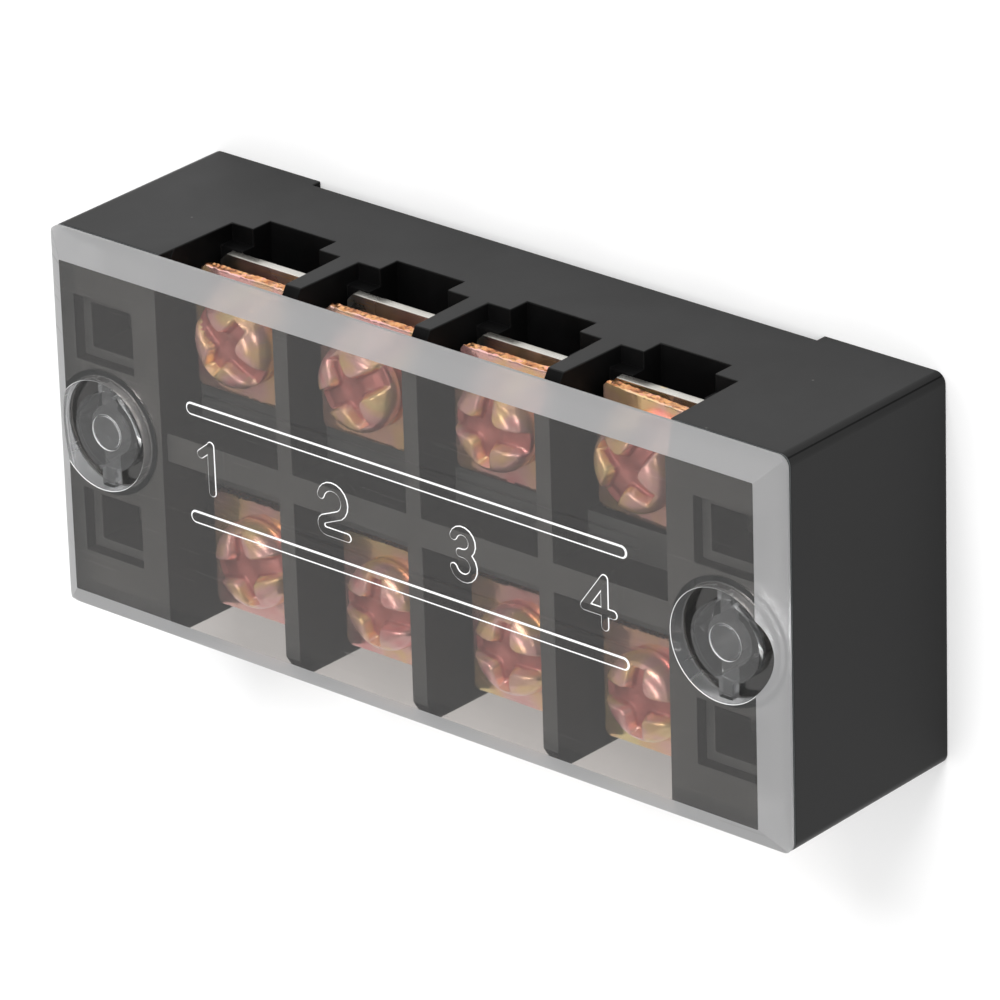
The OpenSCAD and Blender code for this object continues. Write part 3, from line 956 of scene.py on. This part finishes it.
def clear_cover():
    form = welded_copy("cover")
    print(soften(form, LIP_ROUND, segments=1, chosen=on_eye_lip), "edges of the openings broken")
    print(soften(form, RIM_ROUND, chosen=on_rim), "edges of the rim rounded")
    form.normal_update()
    for face in form.faces:
        face.material_index = finish_of(face)
    piece = finished(form, "clear_cover", "cover", "cover", "clear_cover", COVER_FINISHES)
    piece.modifiers.clear()
    union = piece.modifiers.new("join numerals", "BOOLEAN")
    union.operation, union.solver = "UNION", "EXACT"
    union.operand_type, union.collection = "COLLECTION", strokes
    whole = piece.evaluated_get(bpy.context.evaluated_depsgraph_get())
    mesh = bpy.data.meshes.new_from_object(whole)
    piece.modifiers.clear()
    piece.data = mesh
    mesh.shade_smooth()
    mesh.set_sharp_from_angle(angle=math.radians(STROKE_SHARP))
    piece.modifiers.new("even shading", "WEIGHTED_NORMAL").keep_sharp = True
    for stroke in list(strokes.objects):
        bpy.data.objects.remove(stroke)
    bpy.data.collections.remove(strokes)
    return piece


cover = clear_cover()
print(cover.name, len(cover.data.polygons), "faces,", "finishes",
      [sum(face.material_index == i for face in cover.data.polygons) for i in range(len(COVER_FINISHES))])

# %% [markdown]
# ## Floor and light
# A pale floor, a white surrounding and three soft lamps, as in a small light tent. The broad one stands
# on the side of the upper wire mouths, a weaker one at the end, and a small one almost overhead, where
# the domed screw heads mirror it and the flat cover doesn't. The floor is lifted a little where it is
# seen or mirrored, so that it turns white there and still takes the strip's soft shadow.

# %% Rays that see the background
def seen_rays(tree):
    path = add(tree, "ShaderNodeLightPath")
    mirrored = add(tree, "ShaderNodeMath", operation="MAXIMUM")
    seen = add(tree, "ShaderNodeMath", operation="MAXIMUM")
    link(tree, path, mirrored, "Is Glossy Ray", 0)
    link(tree, path, mirrored, "Is Transmission Ray", 1)
    link(tree, mirrored, seen, 0, 0)
    link(tree, path, seen, "Is Camera Ray", 1)
    return seen


print("rays that see the background: camera, glossy and transmission")

# %% Floor
FLOOR_HALF = 1.5


def pale_floor(lift_strength):
    mesh = bpy.data.meshes.new("floor")
    corners = [(x * FLOOR_HALF, y * FLOOR_HALF, 0) for x, y in ((-1, -1), (1, -1), (1, 1), (-1, 1))]
    mesh.from_pydata(corners, [], [(0, 1, 2, 3)])
    floor = bpy.data.objects.new("floor", mesh)
    bpy.context.collection.objects.link(floor)
    material, tree, shader = new_material("pale_floor", Base_Color=(0.88, 0.88, 0.88, 1), Roughness=0.9)
    lift = add(tree, "ShaderNodeMath", {1: lift_strength}, operation="MULTIPLY")
    link(tree, seen_rays(tree), lift, 0, 0)
    link(tree, lift, shader, 0, "Emission Strength")
    shader.inputs["Emission Color"].default_value = (1, 1, 1, 1)
    mesh.materials.append(material)
    return floor


floor = pale_floor(lift_strength=0.12)
print("floor", floor.name)

# %% Lamp and surroundings
def soft_lamp(name, place, size, power):
    data = bpy.data.lights.new(name, "AREA")
    data.shape, data.size, data.size_y, data.energy = "RECTANGLE", size[0], size[1], power
    lamp = bpy.data.objects.new(name, data)
    lamp.location = place
    lamp.rotation_euler = (AIM - Vector(place)).to_track_quat("-Z", "Y").to_euler()
    bpy.context.collection.objects.link(lamp)
    return lamp


def white_surroundings(diffuse, seen):
    world = bpy.data.worlds.new("surroundings")
    world.use_nodes = True
    tree = world.node_tree
    sky = tree.nodes["Background"]
    level = add(tree, "ShaderNodeMapRange", {"To Min": diffuse, "To Max": seen})
    link(tree, seen_rays(tree), level, 0, "Value")
    link(tree, level, sky, 0, "Strength")
    sky.inputs["Color"].default_value = (1, 1, 1, 1)
    bpy.context.scene.world = world


white_surroundings(diffuse=0.64, seen=0.95)
soft_lamp("key", place=(0.12, 0.68, 0.74), size=(0.50, 0.30), power=5.2)
soft_lamp("side", place=(0.72, 0.36, 0.56), size=(0.24, 0.24), power=1.8)
soft_lamp("top", place=(-0.08, -0.06, 0.95), size=(0.30, 0.26), power=1.6)
print("lit by a white surrounding and three soft lamps")
